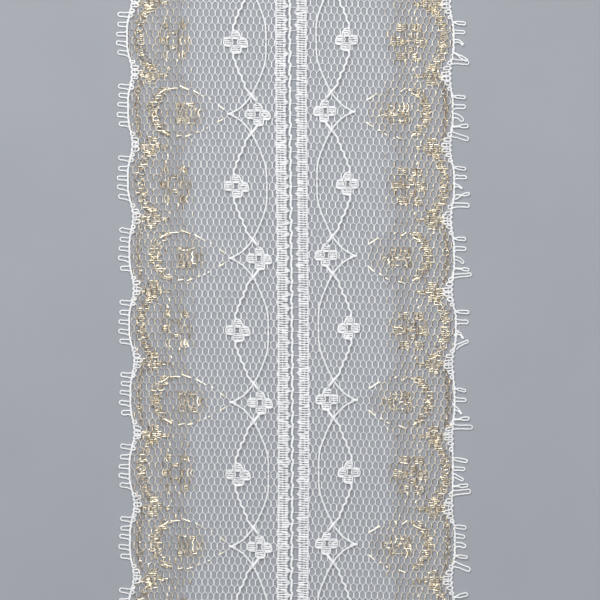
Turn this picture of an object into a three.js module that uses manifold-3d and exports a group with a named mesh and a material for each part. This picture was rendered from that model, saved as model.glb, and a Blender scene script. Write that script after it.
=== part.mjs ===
// Raschel lace galloon, a cut length that lies flat on a surface.
// Two mirrored scalloped edgings are held together along their headings by a ladder of draw thread.
// Millimetres: X across the lace, Y along it, Z up from the surface.

import * as THREE from 'three';
import { mergeVertices } from 'three/addons/utils/BufferGeometryUtils.js';
import Module from 'manifold-3d';

const wasm = await Module();
wasm.setup();

// Length and pattern repeat
const REPEAT = 36.6;
const REPEATS = 4.5;
const LENGTH = REPEAT * REPEATS;
const ROWS_PER_REPEAT = 20;
const ROW = REPEAT / ROWS_PER_REPEAT;
const HALF_REPEAT = REPEAT / 2;
const CROSS_FLOWER_Y = -7.9; // the left cross flower nearest the middle of the length

// Heights above the surface
const GROUND = 1.0;
const HEADING_TOP = 1.35;
const CHAIN_RISE = 0.15;
const GIMP_RISE = 0.32;
const FLOWER_TOP = 1.4;
const INLAY_TOP = 1.18;
const THREAD_TOP = 0.9;
const STRAND_TOP = 0.6;

// Heading strip, measured outward from its inner edge
const HEADING_WIDTH = 2.7;
const HEADING_INSET = 0.1;
const CHAIN_WIDTH = 0.62;
const CHAIN_PLACES = [0.55, 1.4, 2.25];
const GIMP_WIDTH = 0.6;

// Scalloped edge: two lobes in each repeat, and a wedge of cord in the valley between two lobes
const LOBE = HALF_REPEAT;
const LOBE_W = 1.1; // the first lobe's middle, above the cross flower
const LOBE_FLAT = 0.24; // share of a lobe on each side of its middle that is straight
const LOBE_STOPS = [-LOBE_FLAT, LOBE_FLAT, 0.34, 0.42, 0.5, 0.58, 0.66]; // where the edge bends
const EDGE_U = 40.0; // outer edge of the cord on a lobe
const VALLEY_DIP = 0.85;
const CORD_WIDTH = 0.6;
const VALLEY_WIDTH = 2.0;
const CLEARANCE = 0.3;

// Picot loops
const STRAND = 0.36;
const TIP_STEPS = 3;
const LOOP_ROOM = 2.0; // a loop nearer than this to a cut end is cut away

// Draw thread ladder
const THREAD_WIDTH = 0.6;
const RUNG_WIDTH = 0.36;
const ROWS_PER_RUNG = 3;

// White block flowers: a bar with a block above and below, open in the middle
const BAR_LENGTH = 6.6;
const BAR_HEIGHT = 2.5;
const BLOCK_WIDTH = 2.3;
const BLOCK_REACH = 2.9;
const EYE_WIDTH = 0.85;
const EYE_HEIGHT = 1.3;
const FLOWER_PLACES = [
  { u: 12.8, w: 0 },
  { u: 7.2, w: -HALF_REPEAT },
];

// Gimp line that steps from flower to flower
const STEPPED_LINE = [
  { u: 13.3, w: 2.6 },
  { u: 13.3, w: 4.3 },
  { u: 12.6, w: 6.6 },
  { u: 12.2, w: 8.1 },
  { u: 11.2, w: 9.1 },
  { u: 10.5, w: 11.4 },
  { u: 9.8, w: 12.3 },
  { u: 8.9, w: 13.4 },
  { u: 7.2, w: 15.6 },
];

// Gimp line that swings from the diamond tip to the heading and back
const SWINGING_LINE = [
  { u: 14.4, w: 18.3 },
  { u: 11.8, w: 16.9 },
  { u: 10.1, w: 15.3 },
  { u: 8.7, w: 13.4 },
  { u: 7.2, w: 10.5 },
  { u: 5.8, w: 7.0 },
  { u: 5.1, w: 4.2 },
  { u: 4.95, w: 0 },
];

// Gold inlay motifs
const PETAL_RADIUS = 1.15;
const PETAL_SIDES = 6;
const GOLD_FLOWER_U = 28.4;
const PETAL_PLACES = [
  { u: -1.9, w: 4.25 },
  { u: 1.9, w: 4.25 },
  { u: 3.2, w: 0 },
  { u: 1.9, w: -4.25 },
  { u: -1.9, w: -4.25 },
  { u: -3.2, w: 0 },
];
const BUD = { u: 24.4, radiusU: 3.0, radiusW: 2.5, sides: 8 };
const BOWED_BANDS = [
  { middle: LOBE_W, u: 37.2, drop: 3.6, reach: 8.6, width: 2.0 }, // follows the first lobe
  { middle: -HALF_REPEAT, u: 33.4, drop: 4.6, reach: 7.2, width: 2.2 }, // crescent round the bud
];
const BAND_STEPS = 6;

// Loops of each lobe: place along the lobe, lean toward +Y in degrees, reach, width and sideways bow
const NEAT_LOOPS = [
  [
    { at: 5.4, lean: 7, reach: 3.1, width: 1.2, bow: 0 },
    { at: 2.95, lean: 1, reach: 2.6, width: 1.2, bow: 0 },
    { at: 0.5, lean: 2, reach: 2.6, width: 1.1, bow: 0 },
    { at: -2.0, lean: 9, reach: 2.7, width: 1.2, bow: 0 },
    { at: -4.4, lean: 5, reach: 2.5, width: 1.2, bow: 0 },
  ],
  [
    { at: 5.2, lean: 6, reach: 2.9, width: 1.2, bow: 0 },
    { at: 2.4, lean: 2, reach: 2.4, width: 1.2, bow: 0 },
    { at: 0.2, lean: 0, reach: 2.4, width: 1.1, bow: 0 },
    { at: -2.3, lean: 8, reach: 2.7, width: 1.2, bow: 0 },
    { at: -4.6, lean: 3, reach: 2.6, width: 1.2, bow: 0 },
  ],
];
const LOOSE_LOOPS = [
  [
    { at: 4.9, lean: -4, reach: 3.4, width: 1.1, bow: 0 },
    { at: 2.4, lean: 2, reach: 2.8, width: 1.1, bow: 0 },
    { at: -0.3, lean: -6, reach: 2.6, width: 1.1, bow: 0.7 },
    { at: -2.8, lean: -16, reach: 3.6, width: 1.0, bow: 0.1 },
    { at: -5.3, lean: -1, reach: 4.0, width: 1.2, bow: 0.1 },
  ],
  [
    { at: 4.7, lean: -5, reach: 3.5, width: 1.0, bow: 0 },
    { at: 1.8, lean: 4, reach: 3.1, width: 1.1, bow: 0 },
    { at: -1.2, lean: -4, reach: 2.7, width: 1.1, bow: 0.6 },
    { at: -3.4, lean: 5, reach: 3.9, width: 0.95, bow: 0 },
    { at: -5.0, lean: -20, reach: 4.5, width: 1.1, bow: 0 },
  ],
];

// The two edgings: gap from the middle line to the heading, lift and slope of the knitted rows
const EDGINGS = [
  { name: 'left', sign: -1, gap: 1.1, lift: 0, slope: 0.014, lobes: NEAT_LOOPS },
  { name: 'right', sign: 1, gap: 1.7, lift: 1.27, slope: -0.036, lobes: LOOSE_LOOPS },
];

// Enough repeats to run past both cut ends, where the pattern is trimmed square
const REPEAT_NUMBERS = [-2, -1, 0, 1, 2, 3];

const WHITE_YARN = { color: 0xe8e6e8, roughness: 0.85, metalness: 0 };

/** Plan point of an edging: u outward from the heading's inner edge, w along from a cross flower. */
function lay(edging, u, w) {
  const y = CROSS_FLOWER_Y + w + edging.lift + edging.slope * u;
  return new THREE.Vector2(edging.sign * (edging.gap + u), y);
}

/** Share of a valley at a place along the edge: 0 on a lobe, 1 in the middle of a valley. */
function valleyShare(w) {
  const along = (w - LOBE_W) / LOBE;
  const fromLobe = Math.abs(along - Math.round(along));
  return THREE.MathUtils.smoothstep(fromLobe, LOBE_FLAT, 0.5);
}

/** Outer edge of the scalloped cord. */
function cordOuter(w) {
  return EDGE_U - VALLEY_DIP * valleyShare(w);
}

/** Inner edge of the scalloped cord, which widens into a wedge at each valley. */
function cordInner(w) {
  return cordOuter(w) - CORD_WIDTH - (VALLEY_WIDTH - CORD_WIDTH) * valleyShare(w);
}

/** Places along the scalloped edge where it bends, with those at the two cut ends. */
function edgePlaces(edging) {
  const shift = CROSS_FLOWER_Y + edging.lift + edging.slope * EDGE_U;
  const ends = [-LENGTH / 2 - shift, LENGTH / 2 - shift];
  const bends = REPEAT_NUMBERS.flatMap((number) => [0, 1].flatMap((half) => (
    LOBE_STOPS.map((stop) => number * REPEAT + LOBE_W + (stop - half) * LOBE)
  )));
  const inside = bends.filter((w) => w > ends[0] && w < ends[1]);
  return [...inside, ...ends].sort((a, b) => a - b);
}

/** Closed solid of a three.js geometry. */
function solidOf(geometry) {
  const bare = geometry.clone();
  bare.deleteAttribute('normal');
  bare.deleteAttribute('uv');
  const merged = mergeVertices(bare, 1e-4);
  const mesh = new wasm.Mesh({
    numProp: 3,
    vertProperties: new Float32Array(merged.attributes.position.array),
    triVerts: new Uint32Array(merged.index.array),
  });
  return new wasm.Manifold(mesh);
}

/** All the solids of a list as one. */
function fuse(solids) {
  return solids.reduce((whole, next) => whole.add(next));
}

/** Flat slab with a plan outline between two heights. */
function slab(outline, low, high, holes = []) {
  const anticlockwise = THREE.ShapeUtils.isClockWise(outline) ? outline.toReversed() : outline;
  const shape = new THREE.Shape(anticlockwise);
  shape.holes = holes.map((hole) => new THREE.Path(hole));
  const geometry = new THREE.ExtrudeGeometry(shape, { depth: high - low, bevelEnabled: false });
  geometry.translate(0, 0, low);
  return solidOf(geometry);
}

/** Strip between two edges that are given as plan points in the same order. */
function strip(outer, inner, low, high) {
  return slab([...outer, ...inner.toReversed()], low, high);
}

/** Raised line that stands on a level face: a pointed section swept along plan points. */
function ridge(points, width, rise, level) {
  const path = new THREE.CatmullRomCurve3(points.map((p) => new THREE.Vector3(p.x, p.y, level)));
  const section = new THREE.Shape([
    new THREE.Vector2(-rise, 0),
    new THREE.Vector2(0, width / 2),
    new THREE.Vector2(0, -width / 2),
  ]);
  const sweep = { steps: points.length - 1, extrudePath: path, bevelEnabled: false };
  return solidOf(new THREE.ExtrudeGeometry(section, sweep));
}

/** Solid trimmed square at both cut ends of the lace. */
function trim(solid) {
  return solid.intersect(solidOf(new THREE.BoxGeometry(LENGTH, LENGTH, LENGTH)));
}

/** Net ground of an edging, from the heading's inner edge out to the scalloped cord. */
function ground(edging) {
  const outer = edgePlaces(edging).map((w) => lay(edging, cordInner(w) - CLEARANCE, w));
  const inner = [-LENGTH / 2, LENGTH / 2].map((y) => new THREE.Vector2(edging.sign * edging.gap, y));
  outer.at(0).setY(-LENGTH / 2);
  outer.at(-1).setY(LENGTH / 2);
  return strip(outer, inner, 0, GROUND);
}

/** Heading strip with its lengthwise chains. */
function heading(edging) {
  const along = (u) => [-LENGTH / 2, LENGTH / 2].map((y) => (
    new THREE.Vector2(edging.sign * (edging.gap + u), y)
  ));
  const tape = strip(along(HEADING_WIDTH), along(HEADING_INSET), GROUND, HEADING_TOP);
  const chains = CHAIN_PLACES.map((u) => ridge(along(u), CHAIN_WIDTH, CHAIN_RISE, HEADING_TOP));
  return fuse([tape, ...chains]);
}

/** Gimp lines of one repeat: a stepped line each way from the cross flower, and the swinging line. */
function gimpLines(edging, start) {
  const stepped = [1, -1].map((way) => {
    const points = STEPPED_LINE.map((row) => lay(edging, row.u, start + way * row.w));
    return ridge(points, GIMP_WIDTH, GIMP_RISE, GROUND);
  });
  const upper = SWINGING_LINE.map((row) => lay(edging, row.u, start + row.w));
  const lower = SWINGING_LINE.map((row) => lay(edging, row.u, start - row.w));
  const swing = [...upper, ...lower.slice(0, -1).reverse()];
  return [...stepped, ridge(swing, GIMP_WIDTH, GIMP_RISE, GROUND)];
}

/** White block flower: a bar with a block above and below, and an open eye in the middle. */
function whiteFlower(edging, place) {
  const spot = (u, w) => lay(edging, place.u + u, place.w + w);
  const quarter = [
    [BAR_LENGTH / 2, BAR_HEIGHT / 2],
    [BLOCK_WIDTH / 2, BAR_HEIGHT / 2],
    [BLOCK_WIDTH / 2, BLOCK_REACH],
  ];
  const outline = [
    ...quarter.map(([u, w]) => spot(u, w)),
    ...quarter.toReversed().map(([u, w]) => spot(-u, w)),
    ...quarter.map(([u, w]) => spot(-u, -w)),
    ...quarter.toReversed().map(([u, w]) => spot(u, -w)),
  ];
  const halfWidth = EYE_WIDTH / 2;
  const halfHeight = EYE_HEIGHT / 2;
  const eye = [
    spot(halfWidth, halfHeight),
    spot(-halfWidth, halfHeight),
    spot(-halfWidth, -halfHeight),
    spot(halfWidth, -halfHeight),
  ];
  return slab(outline, GROUND, FLOWER_TOP, [eye]);
}

/** Low pad of gold inlay with an oval outline. */
function ovalPad(edging, place, radiusU, radiusW, sides) {
  const outline = Array.from({ length: sides }, (_, i) => {
    const turn = (2 * Math.PI * i) / sides;
    return lay(edging, place.u + radiusU * Math.cos(turn), place.w + radiusW * Math.sin(turn));
  });
  return slab(outline, GROUND, INLAY_TOP);
}

/** Low band of gold inlay that bows outward. */
function bowedBand(edging, band, start) {
  const spots = Array.from({ length: BAND_STEPS + 1 }, (_, i) => (2 * i) / BAND_STEPS - 1);
  const edge = (side) => spots.map((s) => {
    const u = band.u - band.drop * s * s + (side * band.width) / 2;
    return lay(edging, u, start + band.middle + band.reach * s);
  });
  return strip(edge(1), edge(-1), GROUND, INLAY_TOP);
}

/** Gold motifs of one repeat: the six-petal flower, the bud and the bowed bands. */
function goldMotifs(edging, start) {
  const petals = PETAL_PLACES.map((petal) => {
    const place = { u: GOLD_FLOWER_U + petal.u, w: start + petal.w };
    return ovalPad(edging, place, PETAL_RADIUS, PETAL_RADIUS, PETAL_SIDES);
  });
  const budPlace = { u: BUD.u, w: start - HALF_REPEAT };
  const bud = ovalPad(edging, budPlace, BUD.radiusU, BUD.radiusW, BUD.sides);
  const bands = BOWED_BANDS.map((band) => bowedBand(edging, band, start));
  return [...petals, bud, ...bands];
}

/** One edging without its cord: ground, heading, gimp lines, flowers and gold inlay in one piece. */
function band(edging) {
  const pattern = REPEAT_NUMBERS.flatMap((number) => {
    const start = number * REPEAT;
    const flowers = FLOWER_PLACES.map((place) => ({ u: place.u, w: start + place.w }));
    return [
      ...flowers.map((place) => whiteFlower(edging, place)),
      ...gimpLines(edging, start),
      ...goldMotifs(edging, start),
    ];
  });
  return fuse([ground(edging), heading(edging), trim(fuse(pattern))]);
}

/** Hairpin of plan points about a picot loop's spine, which leans and bows, from one root to the other. */
function hairpin(edging, rootW, loop, half) {
  const lean = THREE.MathUtils.degToRad(loop.lean);
  const rootU = cordOuter(rootW);
  const tipCentre = loop.reach - loop.width / 2;
  const spot = (out, across) => {
    const aside = across + loop.bow * Math.sin((Math.PI * out) / loop.reach);
    const u = rootU + out * Math.cos(lean) - aside * Math.sin(lean);
    return lay(edging, u, rootW + out * Math.sin(lean) + aside * Math.cos(lean));
  };
  const legSpots = loop.bow ? [0, tipCentre / 2] : [0];
  const tipTurns = Array.from({ length: TIP_STEPS + 1 }, (_, i) => (Math.PI * i) / TIP_STEPS);
  return [
    ...legSpots.map((out) => spot(out, -half)),
    ...tipTurns.map((turn) => spot(tipCentre + half * Math.sin(turn), -half * Math.cos(turn))),
    ...legSpots.toReversed().map((out) => spot(out, half)),
  ];
}

/** Edge cord of an edging with its picot loops fused along the lobes. */
function picotEdge(edging) {
  const places = edgePlaces(edging);
  const loops = REPEAT_NUMBERS.flatMap((number) => edging.lobes.flatMap((lobe, half) => (
    lobe.map((loop) => ({ ...loop, w: number * REPEAT + LOBE_W - half * LOBE + loop.at }))
  ))).filter((loop) => loop.w - LOOP_ROOM > places.at(0) && loop.w + LOOP_ROOM < places.at(-1));
  const covered = (w) => loops.some((loop) => Math.abs(loop.w - w) < loop.width / 2);
  const edgeSpots = places.filter((w) => !covered(w)).map((w) => ({
    w,
    points: [lay(edging, cordOuter(w), w)],
  }));
  const loopSpots = loops.map((loop) => ({
    w: loop.w,
    points: hairpin(edging, loop.w, loop, loop.width / 2),
  }));
  const outer = [...edgeSpots, ...loopSpots].sort((a, b) => a.w - b.w).flatMap((spot) => spot.points);
  const inner = places.map((w) => lay(edging, cordInner(w), w));
  const eyes = loops.map((loop) => hairpin(edging, loop.w, loop, loop.width / 2 - STRAND));
  [outer, inner].forEach((edge) => {
    edge.at(0).setY(-LENGTH / 2);
    edge.at(-1).setY(LENGTH / 2);
  });
  return slab([...outer, ...inner.reverse()], 0, STRAND_TOP, eyes);
}

/** Draw thread down the middle, with rungs that reach the two headings. */
function drawThread() {
  const count = Math.floor(LENGTH / (ROW * ROWS_PER_RUNG));
  const pitch = LENGTH / count;
  const [left, right] = EDGINGS;
  const from = CLEARANCE - left.gap;
  const to = right.gap - CLEARANCE;
  const thread = new THREE.BoxGeometry(THREAD_WIDTH, LENGTH, THREAD_TOP);
  thread.translate(0, 0, THREAD_TOP / 2);
  const rungs = Array.from({ length: count }, (_, i) => {
    const rung = new THREE.BoxGeometry(to - from, RUNG_WIDTH, STRAND_TOP);
    rung.translate((from + to) / 2, (i + 0.5) * pitch - LENGTH / 2, STRAND_TOP / 2);
    return solidOf(rung);
  });
  return fuse([solidOf(thread), ...rungs]);
}

/** Named mesh of a solid in white yarn. */
function meshOf(name, solid) {
  const { vertProperties, triVerts } = solid.getMesh();
  const geometry = new THREE.BufferGeometry();
  geometry.setAttribute('position', new THREE.BufferAttribute(vertProperties, 3));
  geometry.setIndex(new THREE.BufferAttribute(triVerts, 1));
  geometry.computeVertexNormals();
  const mesh = new THREE.Mesh(geometry, new THREE.MeshStandardMaterial(WHITE_YARN));
  mesh.name = name;
  return mesh;
}

const lace = new THREE.Group();
lace.add(meshOf('draw_thread', drawThread()));
EDGINGS.forEach((edging) => {
  lace.add(meshOf(`band_${edging.name}`, band(edging)));
  lace.add(meshOf(`picot_${edging.name}`, picotEdge(edging)));
});

// The origin is under the middle of the whole lace, on the surface it lies on
const middle = new THREE.Box3().setFromObject(lace).getCenter(new THREE.Vector3());
lace.position.set(-middle.x, -middle.y, 0);

export default lace;
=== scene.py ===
"""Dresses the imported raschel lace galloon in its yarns, on a pale floor under soft studio light.

Sizes are in millimetres, as a lace draft gives them, and meshes are made in metres. A place on the
lace is given by u, out from the heading's inner edge, and w, up the length from a cross flower.
"""

import logging
import math
from dataclasses import dataclass
from enum import Enum
from typing import ClassVar

import bpy
import numpy as np
from bpy.types import Material, Node, NodeSocket, Object
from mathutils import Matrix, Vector


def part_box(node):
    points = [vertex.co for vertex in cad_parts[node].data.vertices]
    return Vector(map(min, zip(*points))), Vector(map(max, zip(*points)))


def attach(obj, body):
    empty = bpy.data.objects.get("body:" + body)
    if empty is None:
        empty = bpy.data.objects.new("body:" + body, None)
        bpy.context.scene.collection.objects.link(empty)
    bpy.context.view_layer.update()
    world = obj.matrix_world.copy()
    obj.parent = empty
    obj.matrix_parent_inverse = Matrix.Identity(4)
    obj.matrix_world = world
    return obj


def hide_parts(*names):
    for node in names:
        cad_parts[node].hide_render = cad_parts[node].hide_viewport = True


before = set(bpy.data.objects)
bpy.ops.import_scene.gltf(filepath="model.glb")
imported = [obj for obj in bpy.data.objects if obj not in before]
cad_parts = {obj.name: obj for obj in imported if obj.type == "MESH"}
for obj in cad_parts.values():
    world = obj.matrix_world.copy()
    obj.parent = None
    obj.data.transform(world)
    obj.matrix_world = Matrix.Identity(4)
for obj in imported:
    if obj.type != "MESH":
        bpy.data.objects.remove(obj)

MM = 0.001
UP = np.array([0.0, 0.0, 1.0])
FACE_UP = math.pi / 4
TINY = 1e-12
Span = tuple[float, float]
Triple = tuple[float, float, float]
Colour = Triple
Row = tuple[float, ...]
Chart = tuple[Row, ...]
Array = np.ndarray
Places = float | Array
Spots = tuple[Places, Places, Places] | Array
log = logging.getLogger("lace")


def ease(low: float, high: float, value: Places) -> Array:
    """Gives for each value a smooth step from 0 at the low one to 1 at the high one."""
    share = np.clip((np.asarray(value, float) - low) / (high - low), 0.0, 1.0)
    return share * share * (3.0 - 2.0 * share)


def smooth_path(points: Chart | list[Row], steps: int) -> Array:
    """Draws a smooth curve through a few points.

    Args:
        points: The points, in order.
        steps: Pieces between each two points.

    Returns:
        The curve's points, with the given ones among them.
    """
    knots = np.asarray(points, float)
    wide = np.vstack([2 * knots[0] - knots[1], knots, 2 * knots[-1] - knots[-2]])
    share = np.linspace(0.0, 1.0, steps, endpoint=False)[:, None]
    spans = []
    for before, start, end, after in zip(wide[:-3], wide[1:-2], wide[2:-1], wide[3:]):
        bend = 2 * before - 5 * start + 4 * end - after
        twist = 3 * (start - end) + after - before
        spans.append(start + 0.5 * share * ((end - before) + share * (bend + share * twist)))
    return np.vstack(spans + [knots[-1:]])


class Slot(Enum):
    """The record's material slots."""

    WHITE = "white_yarn"
    GOLD = "gold_yarn"


class Side(Enum):
    """The two halves of the galloon, by the way each one runs from the draw thread."""

    LEFT = -1
    RIGHT = 1


@dataclass(frozen=True)
class Draft:
    """Sizes that the whole lace shares."""

    repeat: float = 36.6
    most_repeats: int = 3
    row: float = 1.83
    pitch: float = 1.51
    first_wale: float = 2.4
    heading_width: float = 2.7
    edge_u: float = 40.0
    half_length: float = 82.35
    overrun: float = 12.0
    cross_flower_y: float = -7.9
    flowers: Chart = ((12.8, 0.0), (7.2, -18.3))
    lobe: float = 18.3
    lobe_w: float = 1.1
    valley_span: Span = (0.1, 0.5)
    sway: float = 0.33
    sway_length: float = 203.0
    sway_rest_y: float = 19.0

    def repeats(self) -> Array:
        """Gives w at the cross flower of every repeat that may lie within the length."""
        return np.arange(-self.most_repeats, self.most_repeats + 1) * self.repeat

    def lobes(self) -> Array:
        """Gives w at the middle of every lobe that may lie within the length."""
        most = 2 * self.most_repeats
        return np.arange(-most, most + 1) * self.lobe + self.lobe_w

    def stations(self, step: float, more: float = 0.0) -> Array:
        """Gives places up the length, a step apart, that run some way past both ends."""
        reach = self.half_length + self.overrun + more
        return np.arange(-reach, reach, step)

    def lobe_number(self, w: Places) -> Array:
        """Counts the lobes up the length, from 0 at the cross flower, and gives the one at each place."""
        return np.round((np.asarray(w, float) - self.lobe_w) / self.lobe).astype(int)

    def nearest_leg(self, row: int, u: float) -> float:
        """Finds the net's leg that stands nearest a place.

        Args:
            row: The net's row, counted up from the cross flower.
            u: The place.

        Returns:
            The leg's u.
        """
        odd = row % 2
        wale = odd + 2 * round(((u - self.first_wale) / (self.pitch / 2) - 0.5 - odd) / 2)
        return self.first_wale + (wale + 0.5) * self.pitch / 2

    def valley(self, w: Places) -> Array:
        """Tells how far places are into a valley between two lobes, from 0 on a lobe to 1 at the bottom."""
        away = np.abs((np.asarray(w, float) - self.lobe_w + self.lobe / 2) % self.lobe - self.lobe / 2)
        return ease(*self.valley_span, away / self.lobe)


@dataclass(frozen=True)
class Edging:
    """One half of the galloon, and how it lies beside the draw thread.

    The gap is the way from the draw thread to the heading, and ties pull a share of the heading's laps
    into it. The lift and the slope move the half up the length, all over and by its distance out. The
    edge cord's outer side is given on lobes that take turns and in the valleys, where the cord thickens
    to the wedge.
    """

    side: Side
    draft: Draft
    middle_x: float
    gap: float
    lift: float
    slope: float
    lobe_edges: Row
    valley_edge: float
    wedge: float
    tie_reach: float
    tie_share: float
    cord: float = 0.6
    thickens: Span = (0.55, 1.0)

    @property
    def label(self) -> str:
        """Gives the side's name."""
        return self.side.name.lower()

    def cord_outer(self, w: Places) -> Array:
        """Finds the outer side of the edge cord at places up the length."""
        peak = np.take(self.lobe_edges, self.draft.lobe_number(w), mode="wrap")
        return peak - (peak - self.valley_edge) * self.draft.valley(w)

    def cord_inner(self, w: Places) -> Array:
        """Finds the inner side of the edge cord at places up the length."""
        thicker = ease(*self.thickens, self.draft.valley(w))
        return self.cord_outer(w) - self.cord - (self.wedge - self.cord) * thicker

    def place(self, u: Places, w: Places, z: Places) -> Array:
        """Lays places of the draft out on the floor.

        Args:
            u: Places out from the heading's inner edge.
            w: Places up the length.
            z: Heights above the floor.

        Returns:
            One x, y, z row for each place.
        """
        u, w, z = np.broadcast_arrays(np.asarray(u, float), np.asarray(w, float), np.asarray(z, float))
        draft = self.draft
        y = draft.cross_flower_y + w + self.lift + self.slope * u
        sway = -draft.sway * np.sin(2 * math.pi * (y - draft.sway_rest_y) / draft.sway_length)
        x = self.middle_x + sway + self.side.value * (self.gap + u)
        return np.stack([x, y, z], axis=-1)


@dataclass(frozen=True)
class Strand:
    """A kind of round yarn, with its radius, the sides of its tube and its tone or range of tones."""

    radius: float
    sides: int
    tones: Row

    def tone(self, random: np.random.Generator) -> float:
        """Gives how light one strand is, from 0 to 1, by chance where there is a range."""
        return random.uniform(*self.tones) if len(self.tones) > 1 else self.tones[0]

    def dress(self, random: np.random.Generator) -> Triple:
        """Gives one strand's tone, its twist from row to row and its first turn, in radians."""
        return self.tone(random), 0.0, 0.0


@dataclass(frozen=True)
class WoundFoil(Strand):
    """Foil that is twisted evenly, from a first turn that chance sets."""

    twist: float
    most_turn: float

    def dress(self, random: np.random.Generator) -> Triple:
        """Gives one strand's tone, its twist from row to row and its first turn, in radians."""
        return self.tone(random), self.twist, random.uniform(0.0, self.most_turn)


@dataclass(frozen=True)
class FlatFoil(Strand):
    """Foil that lies with a face up, but for a turn and a twist that stray by chance."""

    turn: float
    twist: float

    def dress(self, random: np.random.Generator) -> Triple:
        """Gives one strand's tone, its twist from row to row and its first turn, in radians."""
        turn = FACE_UP + random.normal(0.0, self.turn) if self.turn else FACE_UP
        return self.tone(random), random.normal(0.0, self.twist), turn


class NodeSheet:
    """A material's node tree, with short ways to add and join nodes."""

    def __init__(self, name: str) -> None:
        """Starts a material with its shader.

        Args:
            name: The material's name.
        """
        self.material = bpy.data.materials.new(name)
        self.material.use_nodes = True
        self.nodes = self.material.node_tree.nodes
        self.shader = self.nodes["Principled BSDF"]

    def add(self, kind: str, **settings: object) -> Node:
        """Adds a node.

        Args:
            kind: The node's type.
            settings: Its properties.

        Returns:
            The new node.
        """
        node = self.nodes.new(kind)
        for key, value in settings.items():
            setattr(node, key, value)
        return node

    def join(self, start: NodeSocket, end: NodeSocket) -> None:
        """Links one socket to another."""
        self.material.node_tree.links.new(start, end)

    def set(self, socket: str, value: float) -> None:
        """Sets one of the shader's own sockets."""
        self.shader.inputs[socket].default_value = value

    def noise(self, size: float, detail: float) -> Node:
        """Adds noise in the piece's own space.

        Args:
            size: Size of its patches, in millimetres.
            detail: How many finer layers it has.

        Returns:
            The noise node.
        """
        place = self.add("ShaderNodeTexCoord")
        noise = self.add("ShaderNodeTexNoise")
        noise.inputs["Scale"].default_value = 1.0 / (size * MM)
        noise.inputs["Detail"].default_value = detail
        self.join(place.outputs["Object"], noise.inputs["Vector"])
        return noise

    def ramp(self, stops: Row, *colours: Colour) -> Node:
        """Adds a colour ramp to the base colour.

        Args:
            stops: Places of the ramp's colours, in order.
            colours: The colours.

        Returns:
            The ramp node.
        """
        node = self.add("ShaderNodeValToRGB")
        elements = node.color_ramp.elements
        elements[0].position = stops[0]
        elements[1].position = stops[-1]
        for stop in stops[1:-1]:
            elements.new(stop)
        for element, colour in zip(elements, colours):
            element.color = (*colour, 1.0)
        self.join(node.outputs["Color"], self.shader.inputs["Base Color"])
        return node

    def shade(self, ramp: Node, noise: Node, share: float) -> None:
        """Drives a ramp by the strand's tone and a little noise.

        Args:
            ramp: The colours, from dark to light.
            noise: The noise that varies them.
            share: How much the noise moves the tone, either way.
        """
        tone = self.add("ShaderNodeAttribute", attribute_name="tone")
        spread = self.add("ShaderNodeMath", operation="MULTIPLY_ADD")
        spread.inputs[1].default_value = 2.0 * share
        spread.inputs[2].default_value = -share
        total = self.add("ShaderNodeMath", operation="ADD", use_clamp=True)
        self.join(noise.outputs["Fac"], spread.inputs[0])
        self.join(spread.outputs[0], total.inputs[0])
        self.join(tone.outputs["Fac"], total.inputs[1])
        self.join(total.outputs[0], ramp.inputs["Fac"])

    def emboss(self, noise: Node, depth: float, strength: float) -> None:
        """Raises the surface by a noise.

        Args:
            noise: The noise.
            depth: Height of the relief, in millimetres.
            strength: Share of the relief that shows.
        """
        bump = self.add("ShaderNodeBump")
        bump.inputs["Distance"].default_value = depth * MM
        bump.inputs["Strength"].default_value = strength
        self.join(noise.outputs["Fac"], bump.inputs["Height"])
        self.join(bump.outputs["Normal"], self.shader.inputs["Normal"])


@dataclass(frozen=True)
class WhiteFinish:
    """Bleached yarn, spun soft, with its fibres showing as fine relief."""

    name: str
    dark: Colour = (0.60, 0.61, 0.63)
    light: Colour = (0.94, 0.945, 0.95)
    stops: Span = (0.0, 1.0)
    patch: float = 0.7
    patch_detail: float = 3.0
    unevenness: float = 0.45
    fibre: float = 0.12
    fibre_detail: float = 2.0
    relief: float = 0.05
    relief_share: float = 0.6
    roughness: float = 0.62
    sheen: float = 0.25
    sheen_roughness: float = 0.4

    def material(self) -> Material:
        """Makes the finish's material.

        Returns:
            The new material.
        """
        sheet = NodeSheet(self.name)
        ramp = sheet.ramp(self.stops, self.dark, self.light)
        sheet.shade(ramp, sheet.noise(self.patch, self.patch_detail), self.unevenness)
        sheet.emboss(sheet.noise(self.fibre, self.fibre_detail), self.relief, self.relief_share)
        sheet.set("Roughness", self.roughness)
        sheet.set("Sheen Weight", self.sheen)
        sheet.set("Sheen Roughness", self.sheen_roughness)
        return sheet.material


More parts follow.
